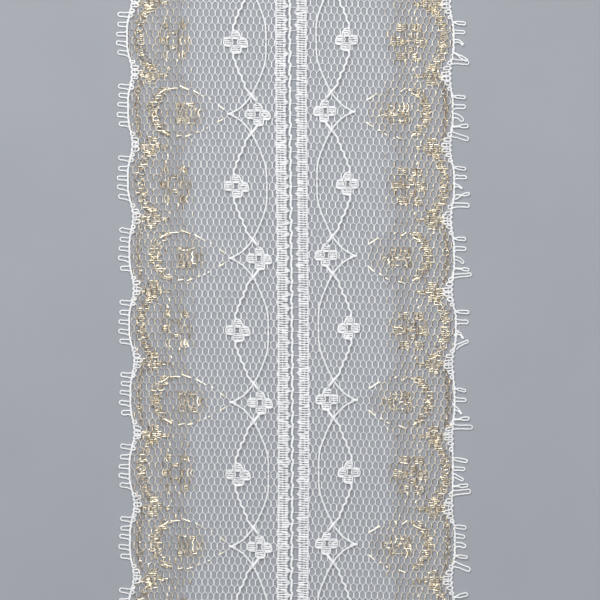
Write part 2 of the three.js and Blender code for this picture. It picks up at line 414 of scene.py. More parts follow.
@dataclass(frozen=True)
class GoldFinish:
    """Metallic inlay yarn, a flat ribbon of foil twisted round a brown core. Its base colour runs from dark
    brown, partly the core and partly painted shade, through the foil's gold to a painted glint, set by each
    strand's tone and by small noise spots.
    """

    name: str
    # The ramp's dark end is partly the yarn's brown core and partly painted shade.
    core_and_shade: Colour = (0.055, 0.032, 0.016)
    foil: Colour = (0.38, 0.255, 0.115)
    # The ramp's light end is a painted glint, cream put into the base colour.
    painted_glint: Colour = (1.0, 0.9, 0.69)
    stops: Triple = (0.1, 0.42, 0.82)
    # Size of the noise spots that paint glint and shade into the foil's tone.
    glint_and_shade_spot: float = 0.45
    glint_and_shade_detail: float = 2.0
    unevenness: float = 0.45
    crinkle: float = 0.15
    crinkle_detail: float = 2.0
    relief: float = 0.03
    relief_share: float = 0.5
    metallic: float = 0.55
    roughness: float = 0.32

    def material(self) -> Material:
        """Makes the finish's material.

        Returns:
            The new material.
        """
        sheet = NodeSheet(self.name)
        ramp = sheet.ramp(self.stops, self.core_and_shade, self.foil, self.painted_glint)
        sheet.shade(ramp, sheet.noise(self.glint_and_shade_spot, self.glint_and_shade_detail), self.unevenness)
        sheet.emboss(sheet.noise(self.crinkle, self.crinkle_detail), self.relief, self.relief_share)
        sheet.set("Metallic", self.metallic)
        sheet.set("Roughness", self.roughness)
        return sheet.material


@dataclass(frozen=True)
class FloorFinish:
    """Plain pale board with a faint mottle."""

    name: str = "pale_board"
    dark: Colour = (0.325, 0.34, 0.37)
    light: Colour = (0.34, 0.355, 0.385)
    stops: Span = (0.3, 0.7)
    mottle: float = 30.0
    mottle_detail: float = 4.0
    roughness: float = 0.85

    def material(self) -> Material:
        """Makes the finish's material.

        Returns:
            The new material.
        """
        sheet = NodeSheet(self.name)
        ramp = sheet.ramp(self.stops, self.dark, self.light)
        mottle = sheet.noise(self.mottle, self.mottle_detail)
        sheet.join(mottle.outputs["Fac"], ramp.inputs["Fac"])
        sheet.set("Roughness", self.roughness)
        return sheet.material


@dataclass
class YarnPiece:
    """A piece of one edging, its strands gathered into one mesh of closed tubes.

    Each kind of piece has its name, its seed and its slot. The two halves of a kind stray each in their
    own way, unless the kind is alike in both.
    """

    kind: ClassVar[str]
    seed: ClassVar[int]
    alike: ClassVar[bool] = False
    slot: ClassVar[Slot] = Slot.WHITE
    least_stub: ClassVar[float] = 0.05
    edging: Edging

    def __post_init__(self) -> None:
        """Starts an empty mesh and the piece's small unevenness."""
        self.random = np.random.default_rng(self.seed + (0 if self.alike else self.edging.side.value))
        self.points: list[Array] = []
        self.tones: list[Array] = []
        self.corners: list[Array] = []
        self.counts: list[Array] = []
        self.size = 0

    @property
    def name(self) -> str:
        """Gives the piece's name."""
        return f"{self.kind}_{self.edging.label}"

    def lay_strands(self) -> None:
        """Lays all strands of the piece, each kind in its own way."""
        raise NotImplementedError

    def build(self, finish: Material) -> Object:
        """Lays the strands and makes the piece, shaded round for white yarn and in facets for foil.

        Args:
            finish: The yarn's finish.

        Returns:
            The new piece, riding on the lace's one body.
        """
        self.lay_strands()
        counts = np.concatenate(self.counts)
        corners = np.concatenate(self.corners)
        mesh = bpy.data.meshes.new(self.name)
        mesh.vertices.add(self.size)
        mesh.vertices.foreach_set("co", (np.vstack(self.points) * MM).astype(np.float32).ravel())
        mesh.loops.add(len(corners))
        mesh.loops.foreach_set("vertex_index", corners.astype(np.int32))
        mesh.polygons.add(len(counts))
        mesh.polygons.foreach_set("loop_start", (np.cumsum(counts) - counts).astype(np.int32))
        mesh.polygons.foreach_set("use_smooth", np.full(len(counts), self.slot is Slot.WHITE))
        mesh.update(calc_edges=True)
        tone = mesh.attributes.new("tone", "FLOAT", "POINT")
        tone.data.foreach_set("value", np.concatenate(self.tones).astype(np.float32))
        mesh.materials.append(finish)
        piece = bpy.data.objects.new(self.name, mesh)
        bpy.context.scene.collection.objects.link(piece)
        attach(piece, "root")
        log.info("%s: %d triangles", self.name, int((counts - 2).sum()))
        return piece

    def stray(self, spread: float, count: int | tuple[int, ...] | None = None) -> Places:
        """Gives one small offset of a usual size by chance, or a number of them."""
        return self.random.normal(0.0, spread, count)

    def between(self, low: float, high: float) -> float:
        """Gives a number by chance between two others."""
        return self.random.uniform(low, high)

    def happens(self, share: float) -> bool:
        """Tells by chance whether a thing that happens in a share of cases happens now."""
        return self.random.random() < share

    def cut(self, line: Array) -> list[Array]:
        """Cuts a strand off square at both ends of the lace.

        Args:
            line: Rows of x, y, z and radius.

        Returns:
            The runs that lie within the length.
        """
        half_length = self.edging.draft.half_length
        inside = np.abs(line[:, 1]) <= half_length
        if inside.all():
            return [line]
        runs = []
        for run in np.split(np.arange(len(line)), np.flatnonzero(np.diff(inside)) + 1):
            if not inside[run[0]]:
                continue
            rows = [line[run]]
            for kept, lost in ((run[0], run[0] - 1), (run[-1], run[-1] + 1)):
                if not 0 <= lost < len(line):
                    continue
                end = math.copysign(half_length, line[lost, 1])
                share = (end - line[kept, 1]) / (line[lost, 1] - line[kept, 1])
                row = line[kept] + share * (line[lost] - line[kept])
                if share > self.least_stub:
                    rows.insert(0 if lost < kept else len(rows), row[None])
            whole = np.vstack(rows)
            if len(whole) > 1:
                runs.append(whole)
        return runs

    def lay(self, spots: Spots, strand: Strand, thick: Places | None = None, dim: float = 0.0) -> None:
        """Lays one strand.

        Args:
            spots: The u, w and height of places along the strand's middle.
            strand: The kind of yarn.
            thick: The radius at each place, where it isn't the kind's own all along.
            dim: How much darker than its kind the strand is.
        """
        tone, twist, turn = strand.dress(self.random)
        path = self.edging.place(*spots)
        radius = strand.radius if thick is None else thick
        for run in self.cut(np.column_stack([path, np.broadcast_to(radius, len(path))])):
            self.skin(run, strand.sides, tone - dim, turn + twist * np.arange(len(run)))

    def skin(self, run: Array, sides: int, tone: float, turns: Array) -> None:
        """Closes a tube round one run.

        Args:
            run: Rows of x, y, z and radius.
            sides: Sides of the tube.
            tone: How light the strand is.
            turns: Turn of the tube at each row, in radians.
        """
        middle = run[:, :3]
        along = np.gradient(middle, axis=0)
        along /= np.linalg.norm(along, axis=1, keepdims=True) + TINY
        across = np.cross(along, UP)
        across /= np.linalg.norm(across, axis=1, keepdims=True) + TINY
        rise = np.cross(across, along)
        count = len(run)
        turn = np.arange(sides) * (2 * math.pi / sides) + turns[:, None]
        ring = np.cos(turn)[..., None] * across[:, None] + np.sin(turn)[..., None] * rise[:, None]
        ring = middle[:, None] + ring * run[:, 3][:, None, None]
        index = np.arange(count * sides).reshape(count, sides) + self.size
        turned = np.roll(index, -1, axis=1)
        walls = np.stack([index[:-1], index[1:], turned[1:], turned[:-1]], axis=-1)
        self.points.append(ring.reshape(-1, 3))
        self.tones.append(np.full(count * sides, tone))
        self.corners += [walls.reshape(-1), index[0], index[-1][::-1]]
        self.counts += [np.full((count - 1) * sides, 4), np.array([sides, sides])]
        self.size += count * sides


@dataclass
class NetGround(YarnPiece):
    """The hexagonal ground net, whose wales meet in pairs and part again in each row."""

    kind = "net"
    seed = 21
    alike = True
    wale_seed: ClassVar[int] = 11
    rows: int = 54
    leg: float = 1.28
    twin: float = 0.055
    flare: float = 0.07
    uneven_u: float = 0.045
    uneven_w: float = 0.03
    tuck: float = 0.25
    thread: Strand = Strand(0.1, 4, (0.8, 1.0))
    knot: float = 0.025
    knots: Triple = (1.0, 0.0, -0.3)
    height: float = 0.28
    rises: Triple = (-0.06, 0.05, -0.02)
    next_rise: float = 0.03
    eye: Span = (0.8, 1.3)
    eye_rim: float = 0.05
    dimmed: float = 0.35
    dimmed_from: Span = (20.0, 26.0)

    def wales(self) -> list[Array]:
        """Draws the net's wales.

        Returns:
            For each wale, rows of u, w and height up its length, three to a stitch.
        """
        draft = self.edging.draft
        random = np.random.default_rng(self.wale_seed + self.edging.side.value)
        rows = np.arange(-self.rows, self.rows + 1)
        half = draft.pitch / 2
        apart = np.tile([self.flare, self.twin, self.flare], len(rows))
        drop = np.tile([-0.5, 0.0, 0.5], len(rows)) * self.leg
        rise = self.height + np.tile(self.rises, len(rows))
        paths = []
        for wale in range(int((draft.edge_u - draft.first_wale) / half) + 1):
            lean = np.where((wale + rows) % 2 == 0, 1, -1)
            leg_u = draft.first_wale + (wale + 0.5 * lean) * half
            u = np.repeat(leg_u, 3) - np.repeat(lean, 3) * apart
            u = u + random.normal(0.0, self.uneven_u, len(apart))
            w = np.repeat(rows * draft.row, 3) + drop + random.normal(0.0, self.uneven_w, len(drop))
            u = self.clear_eyes(np.minimum(u, self.edging.cord_inner(w) + self.tuck), w, wale)
            paths.append(np.column_stack([u, w, rise + self.next_rise * (wale % 2)]))
        return paths

    def clear_eyes(self, u: Array, w: Array, wale: int) -> Array:
        """Draws a wale aside where a flower's eye stays open.

        Args:
            u: The wale's places out from the heading.
            w: Its places up the length.
            wale: The wale's number, which tells the side it keeps to.

        Returns:
            The places out, moved off the eyes.
        """
        draft = self.edging.draft
        wide, tall = self.eye
        for centre_u, centre_w in draft.flowers:
            away = (w - centre_w + draft.repeat / 2) % draft.repeat - draft.repeat / 2
            inside = (np.abs(away) < tall) & (np.abs(u - centre_u) < wide)
            side = math.copysign(wide + self.eye_rim, draft.first_wale + wale * draft.pitch / 2 - centre_u)
            u = np.where(inside, centre_u + side, u)
        return u

    def cover(self) -> float:
        """Works out the flat area of the net's own yarn, its openings left out.

        Returns:
            The area, in square metres.
        """
        draft = self.edging.draft
        wales = (draft.edge_u - draft.heading_width) / (draft.pitch / 2)
        stitch = self.leg + math.hypot(draft.row - self.leg, draft.pitch / 2)
        rows = 2 * draft.half_length / draft.row
        return wales * rows * stitch * math.pi * self.thread.radius * MM * MM

    def lay_strands(self) -> None:
        """Knits the net, dimmer where gold runs along with it."""
        for path in self.wales():
            thick = self.thread.radius + self.knot * np.resize(self.knots, len(path))
            dim = self.dimmed * float(ease(*self.dimmed_from, path[0, 0]))
            self.lay(path.T, self.thread, thick, dim)


@dataclass
class GoldGround(YarnPiece):
    """The thin gold that runs along the net's wales near the edge, with a painted glint, a short foil stroke
    toned bright, on some of the legs.
    """

    kind = "gold_ground"
    seed = 31
    alike = True
    slot = Slot.GOLD
    net: NetGround
    begins: float
    swing: Span = (2.1, -2.0)
    least_places: int = 4
    offset: Triple = (0.11, 0.0, 0.06)
    uneven: float = 0.04
    thread: Strand = WoundFoil(0.07, 3, (0.2, 0.6), twist=0.7, most_turn=6.0)
    # Painted glints: short foil strokes on single legs, toned bright to stand for sparkle.
    painted_glint: Strand = WoundFoil(0.1, 4, (0.6, 1.0), twist=0.4, most_turn=3.0)
    painted_glint_share: float = 0.17
    painted_glint_lift: Triple = (0.0, 0.0, 0.14)

    def lay_strands(self) -> None:
        """Lays the gold along every wale, from where the pattern lets it begin."""
        for path in self.net.wales():
            turn = 2 * math.pi * path[:, 1] / self.edging.draft.repeat
            swing = self.swing[0] * np.cos(turn) + self.swing[1] * np.cos(2 * turn)
            inside = path[:, 0] > self.begins + swing
            for run in np.split(np.arange(len(path)), np.flatnonzero(np.diff(inside)) + 1):
                if len(run) < self.least_places or not inside[run[0]]:
                    continue
                spots = path[run] + self.offset
                spots[:, 0] += self.stray(self.uneven, len(run))
                self.lay(spots.T, self.thread)
            # A share of the legs get a painted glint, a foil stroke toned bright, lifted above the gold.
            legs = path.reshape(-1, 3, 3)
            for leg in legs[self.random.random(len(legs)) < self.painted_glint_share]:
                if leg[0, 0] > self.begins:
                    self.lay((leg + self.painted_glint_lift).T, self.painted_glint)


@dataclass
class Heading(YarnPiece):
    """The solid strip beside the draw thread, knitted of cross laps over chains."""

    kind = "heading"
    seed = 41
    height: float = 0.44
    lap: Strand = Strand(0.305, 6, (0.5, 1.0))
    lap_pitch: float = 0.61
    lap_shoulder: float = 0.25
    lap_end: float = 2.6
    lap_lump: float = 0.012
    lap_lean: float = 0.05
    lap_ragged: float = 0.08
    slits: Span = (0.92, 1.83)
    slit_reach: float = 0.2
    slit_depth: float = 0.115
    slit_dip: float = 0.05
    slit_share: float = 0.72
    gap_share: float = 0.14
    border: Strand = Strand(0.15, 6, (0.7,))
    border_places: int = 4
    border_inset: float = 0.25
    border_lift: float = 0.02
    border_knob: float = 0.05
    border_lump: float = 0.02
    border_stray: float = 0.06
    tie_pitch: float = 3.05
    tie_stray: float = 0.2
    tie_spread: float = 0.8
    tie_pulls: Span = (0.6, 1.25)
    slack_pull: float = 0.25
    tie_grip: float = 2.0
    tie_gather: float = 0.75
    tie_radius: float = 0.28
    tie_taper: float = 0.2
    tie_most: float = 0.6

    def lay_strands(self) -> None:
        """Knits the strip, with ties that pull it towards the draw thread."""
        draft = self.edging.draft
        ties = draft.stations(self.tie_pitch)
        ties = ties + self.stray(self.tie_stray, len(ties))
        pulls = self.edging.tie_reach * self.random.uniform(*self.tie_pulls, len(ties))
        tight = self.random.random(len(ties)) < self.edging.tie_share
        pulls = pulls * np.where(tight, 1.0, self.slack_pull)
        for w in draft.stations(self.lap_pitch):
            nearest = int(np.argmin(np.abs(ties - w)))
            self.lay_lap(w, ties[nearest], pulls[nearest])
        w = draft.stations(self.lap_pitch / self.border_places)
        thick = self.border.radius + self.border_knob * np.cos(2 * math.pi * w / self.lap_pitch)
        thick = thick + self.stray(self.border_lump, len(w))
        u = draft.heading_width - self.border_inset + self.stray(self.border_stray, len(w))
        self.lay((u, w, self.height + self.border_lift), self.border, thick)

    def lay_lap(self, w: float, tie: float, pull: float) -> None:
        """Lays one cross lap, drawn in by the chains and pulled out towards the nearest tie.

        Args:
            w: The lap's place up the length.
            tie: The nearest tie's place up the length.
            pull: How far that tie pulls.
        """
        round_slit = self.slit_reach * np.array([-2.0, -1.0, 1.0, 2.0])
        first, second = self.slits
        inner = [0.0, self.lap_shoulder]
        out = np.concatenate([inner, first + round_slit, second + round_slit, [self.lap_end]])
        drawn = np.zeros(len(out))
        # Places 3 and 4 lie at the first slit, and places 7 and 8 at the second.
        drawn[[3, 4]] = self.happens(self.slit_share)
        drawn[[7, 8]] = self.happens(self.slit_share)
        if self.happens(self.gap_share):
            drawn[3:9] = 1.0
        radius = self.lap.radius - self.slit_depth * drawn + self.stray(self.lap_lump, len(out))
        rows = w + self.stray(self.lap_lean) * (out - self.lap_end / 2)
        away = w - tie
        pull = pull * math.exp(-((away / self.tie_spread) ** 2))
        out[0] += self.between(-self.lap_ragged, self.lap_ragged) - pull
        out[-1] += self.stray(self.lap_ragged)
        rows[0] -= away * self.tie_gather * min(1.0, self.tie_grip * pull)
        radius[0] = self.tie_radius - self.tie_taper * min(pull, self.tie_most)
        self.lay((out, rows, self.height - self.slit_dip * drawn), self.lap, radius)


@dataclass
class GimpLines(YarnPiece):
    """The thick white outline yarns: a stepped line and a swinging line in each half repeat."""

    kind = "gimp"
    seed = 51
    height: float = 0.5
    step: Strand = Strand(0.28, 6, (0.95,))
    step_lift: float = 0.06
    step_bends: int = 3
    swing: Strand = Strand(0.23, 6, (0.8,))
    swing_bends: int = 6
    line_stray: float = 0.03
    line_lump: float = 0.015
    knot: Strand = Strand(0.38, 6, (0.9,))
    knot_taper: Row = (0.5, 1.0, 1.0, 0.5)
    knot_reach: Row = (-0.9, -0.3, 0.3, 0.6)
    leg_share: float = 0.7
    leg_rows: Triple = (-0.27, 0.0, 0.24)
    leg_from: float = 0.3
    straight_from: float = 11.5
    straight_gap: float = 0.5
    stepped: Chart = (
        (13.3, 2.6), (13.3, 4.3), (12.6, 6.6), (12.2, 8.1), (11.2, 9.1),
        (10.4, 11.4), (9.7, 12.3), (8.8, 13.4), (7.2, 15.5),
    )
    swinging: Chart = (
        (14.4, 18.3), (11.8, 16.9), (10.1, 15.3), (8.7, 13.4),
        (7.2, 10.5), (5.8, 7.0), (5.1, 4.2), (4.95, 0.0),
    )
    doubled: Chart = ((9.1, 13.0), (8.7, 13.5), (8.0, 14.4), (7.4, 15.2))

    def lay_strands(self) -> None:
        """Lays both lines up the length, doubled near the flowers, with a knot where two swings meet."""
        stepped = (self.follow_net(), self.step, self.height + self.step_lift)
        swinging = (smooth_path(self.swinging, self.swing_bends), self.swing, self.height)
        tip_u, tip_w = self.swinging[0]
        double_u, double_w = np.array(self.doubled).T
        taper = self.knot.radius * np.array(self.knot_taper)
        for start in self.edging.draft.repeats():
            for up in (1, -1):
                for line, strand, height in (stepped, swinging):
                    u = line[:, 0] + self.stray(self.line_stray, len(line))
                    thick = strand.radius + self.stray(self.line_lump, len(line))
                    self.lay((u, start + up * line[:, 1], height), strand, thick)
                self.lay((double_u, start + up * double_w, self.height), self.knot)
            tip = (tip_u + np.array(self.knot_reach), start + tip_w, self.height)
            self.lay(tip, self.knot, taper)

    def follow_net(self) -> Array:
        """Makes the stepped line follow the net, upright along a leg and then aslant to the next row.

        Returns:
            Rows of u and w along the line, with w rising.
        """
        draft = self.edging.draft
        line = np.array(self.stepped)
        corners = [self.stepped[0]]
        first = math.ceil(line[0, 1] / draft.row + self.leg_from)
        for row in range(first, math.floor(self.straight_from / draft.row) + 1):
            aim = float(np.interp(row * draft.row, line[:, 1], line[:, 0]))
            u = aim + self.leg_share * (draft.nearest_leg(row, aim) - aim)
            corners += [(u, (row + share) * draft.row) for share in self.leg_rows]
        corners += [knot for knot in self.stepped if knot[1] > self.straight_from + self.straight_gap]
        return smooth_path(corners, self.step_bends)


@dataclass
class BlockFlowers(YarnPiece):
    """The white cross flowers, each four lapped blocks round an open eye."""

    kind = "flowers"
    seed = 61
    stretch: float
    height: float = 0.48
    lap: Strand = Strand(0.255, 5, (0.6, 1.0))
    lap_pitch: float = 0.54
    lap_places: int = 6
    lap_room: float = 0.1
    lap_stray: float = 0.05
    thin_radius: float = 0.16
    thin_share: float = 0.2
    outline_cord: Strand = Strand(0.22, 6, (0.95,))
    seam_cord: Strand = Strand(0.15, 6, (0.95,))
    cord_stray: float = 0.02
    cord_lift: float = 0.08
    blocks: Chart = (
        (1.0, 2.8, -0.8, 0.9), (-3.0, -0.95, -0.95, 0.75),
        (-1.0, 0.75, 1.15, 2.4), (-1.25, 0.75, -2.45, -1.2),
    )
    outline: Chart = (
        (0.4, 3.3), (0.3, 2.85), (-0.4, 2.75), (-0.85, 2.5), (-1.15, 1.9), (-1.4, 1.1), (-1.6, 1.0),
        (-2.2, 0.98), (-2.6, 0.8), (-3.05, 0.3), (-3.3, -0.6), (-3.15, -1.1), (-2.8, -1.3),
        (-1.7, -1.25), (-1.5, -1.4), (-1.5, -2.4), (-1.3, -2.7), (-0.6, -2.8), (0.3, -2.85), (0.45, -3.4),
    )
    seams: tuple[Chart, ...] = (
        ((0.95, 1.15), (2.3, 1.15), (2.75, 1.0), (2.98, 0.55),
         (3.02, -0.4), (2.75, -0.9), (2.2, -1.1), (0.95, -1.15)),
        ((0.9, 1.0), (0.95, 2.2), (0.75, 2.5), (0.3, 2.6)),
        ((0.9, -1.1), (0.95, -2.3), (0.75, -2.6), (0.2, -2.75)),
        ((0.9, 0.85), (0.66, 0.45), (0.53, 0.0), (0.66, -0.45), (0.9, -0.85)),
        ((-0.9, 0.8), (-0.66, 0.45), (-0.53, 0.0), (-0.66, -0.45), (-0.9, -0.85)),
        ((-1.0, 0.84), (0.0, 0.84), (0.85, 0.88)),
        ((-1.2, -0.92), (0.0, -0.87), (0.85, -0.92)),
    )

    def lay_strands(self) -> None:
        """Laps every flower up the length."""
        draft = self.edging.draft
        for start in draft.repeats():
            for centre_u, centre_w in draft.flowers:
                centre = np.array([centre_u, start + centre_w])
                for block in self.blocks:
                    self.lap_block(centre, block)
                self.lay_cord(centre, self.outline, self.outline_cord)
                for seam in self.seams:
                    self.lay_cord(centre, seam, self.seam_cord)

    def lap_block(self, centre: Array, block: Row) -> None:
        """Fills one block with laps.

        Args:
            centre: The flower's u and w.
            block: The block's least and greatest u, then w, from the centre.
        """
        left, right, low, high = block
        u = centre[0] + self.stretch * np.linspace(left, right, self.lap_places)
        for w in np.arange(low, high + self.lap_room, self.lap_pitch):
            rows = centre[1] + w + self.stray(self.lap_stray, len(u))
            thin = self.random.random(len(u)) < self.thin_share
            radius = np.where(thin, self.thin_radius, self.lap.radius)
            self.lay((u, rows, self.height), self.lap, radius)

    def lay_cord(self, centre: Array, line: Chart, cord: Strand) -> None:
        """Runs one cord round the blocks or the eye.

        Args:
            centre: The flower's u and w.
            line: The cord's u and w from the centre.
            cord: The kind of cord.
        """
        path = np.array(line) * (self.stretch, 1.0) + centre
        u, w = (path + self.stray(self.cord_stray, path.shape)).T
        self.lay((u, w, self.height + self.cord_lift), cord)


@dataclass(frozen=True)
class Band:
    """An arched band of braid.

    It has the u of its top, how far its ends drop in from there, its middle w, the rows that it reaches up
    and down, half of its width, and the share of its laps that are laid.
    """

    u: float
    drop: float
    w: float
    rows: float
    half: float
    fill: float


@dataclass(frozen=True)
class GoldMotif:
    """What the two halves draw each in their own way with the gold.

    A stack is given by u, w, the length of its laps and their number, a bow by u and its two ends,
    and a dash by u and w at both ends.
    """

    ground_from: float
    flower_w: float
    petal_fill: float
    bud_fill: float
    festoon: Band
    crescent: Band
    flower_stacks: Chart
    flower_bows: Chart
    bud_stacks: Chart
    bud_bows: Chart
    dashes: Chart


LEFT_GOLD = GoldMotif(
    ground_from=23.7,
    flower_w=0.25,
    petal_fill=0.8,
    bud_fill=0.6,
    festoon=Band(37.3, 2.9, 1.1, 4.4, 1.15, 0.5),
    crescent=Band(33.6, 3.6, 0.5, 3.4, 1.4, 0.5),
    flower_stacks=(
        (28.4, 2.0, 1.2, 2), (28.4, -1.7, 1.2, 2), (31.1, 0.0, 1.0, 3),
        (30.3, 3.9, 1.0, 3), (25.9, 3.7, 1.0, 2), (25.8, -3.7, 1.0, 2),
    ),
    flower_bows=(
        (31.6, -0.9, 0.9), (30.8, -1.0, 1.1), (29.8, -1.1, 1.1),
        (26.3, -1.1, 1.1), (25.2, -1.0, 1.1), (24.3, -0.8, 0.9),
        (30.6, 2.8, 4.6), (29.8, 2.9, 4.7), (26.8, 2.8, 4.7), (25.8, 2.8, 4.8), (25.0, 2.9, 4.4),
        (30.6, -4.6, -2.7), (29.8, -4.8, -2.7), (26.8, -4.8, -2.7), (25.9, -4.8, -2.6), (25.1, -4.5, -2.8),
    ),
    bud_stacks=((25.6, 2.2, 4.4, 2), (25.4, -1.9, 4.8, 3)),
    bud_bows=(
        (27.2, -1.1, 1.5), (26.1, -1.2, 1.6), (25.0, -1.2, 1.6),
        (23.8, -1.2, 1.6), (22.7, -1.0, 1.4), (21.8, -0.7, 1.1),
        (34.4, -1.0, 1.5), (33.5, -1.2, 1.7), (32.5, -1.1, 1.6),
    ),
    dashes=(
        (32.2, 4.9, 30.3, 6.2), (29.9, 6.3, 27.4, 6.4), (26.8, 7.0, 24.7, 6.1), (23.5, 5.9, 21.9, 5.0),
        (21.4, 4.7, 20.9, 4.4), (19.4, 3.9, 19.0, 3.7), (17.1, 2.3, 15.8, 1.2),
        (31.4, -4.5, 29.6, -5.4), (27.8, -5.8, 26.4, -5.5), (25.6, -5.8, 24.1, -5.4),
        (22.7, -4.8, 22.1, -4.5), (21.4, -4.3, 20.9, -4.1), (20.2, -3.7, 19.8, -3.5),
        (17.5, -2.1, 16.0, -1.3),
    ),
)
RIGHT_GOLD = GoldMotif(
    ground_from=21.9,
    flower_w=-0.1,
    petal_fill=0.9,
    bud_fill=0.65,
    festoon=Band(37.3, 2.9, 1.1, 4.4, 1.15, 0.7),
    crescent=Band(33.0, 3.6, 0.5, 3.4, 1.15, 0.7),
    flower_stacks=(
        (30.3, 3.7, 2.1, 4), (26.6, 3.7, 2.3, 4), (31.4, 0.0, 2.1, 5), (25.2, 0.1, 2.4, 5),
        (30.4, -3.8, 2.1, 4), (26.6, -3.7, 2.3, 4), (28.9, 1.6, 1.1, 3), (28.0, 0.1, 3.4, 2),
        (28.9, -1.9, 1.1, 3),
    ),
    flower_bows=(),
    bud_stacks=((24.9, 0.0, 7.2, 3), (25.7, 1.8, 4.4, 1), (25.7, -1.9, 4.4, 1)),
    bud_bows=(
        (28.0, 0.6, 2.8), (26.9, 0.6, 2.9), (25.7, 0.6, 2.9), (24.4, 0.6, 2.5), (23.2, 0.5, 1.6),
        (28.2, -2.3, -0.6), (27.2, -2.9, -0.6), (23.8, -2.7, -0.6), (22.7, -1.8, -0.6),
    ),
    dashes=(
        (17.8, 3.2, 20.6, 4.9), (24.3, 6.1, 24.8, 6.3), (26.3, 5.6, 27.5, 6.5), (28.3, 6.2, 28.9, 5.9),
        (29.1, 5.3, 31.0, 4.5), (17.6, -2.4, 19.3, -3.7), (20.5, -4.2, 21.2, -4.6), (22.2, -5.2, 22.8, -5.6),
        (25.3, -6.0, 27.2, -6.7), (28.9, -5.7, 30.2, -4.8),
    ),
)


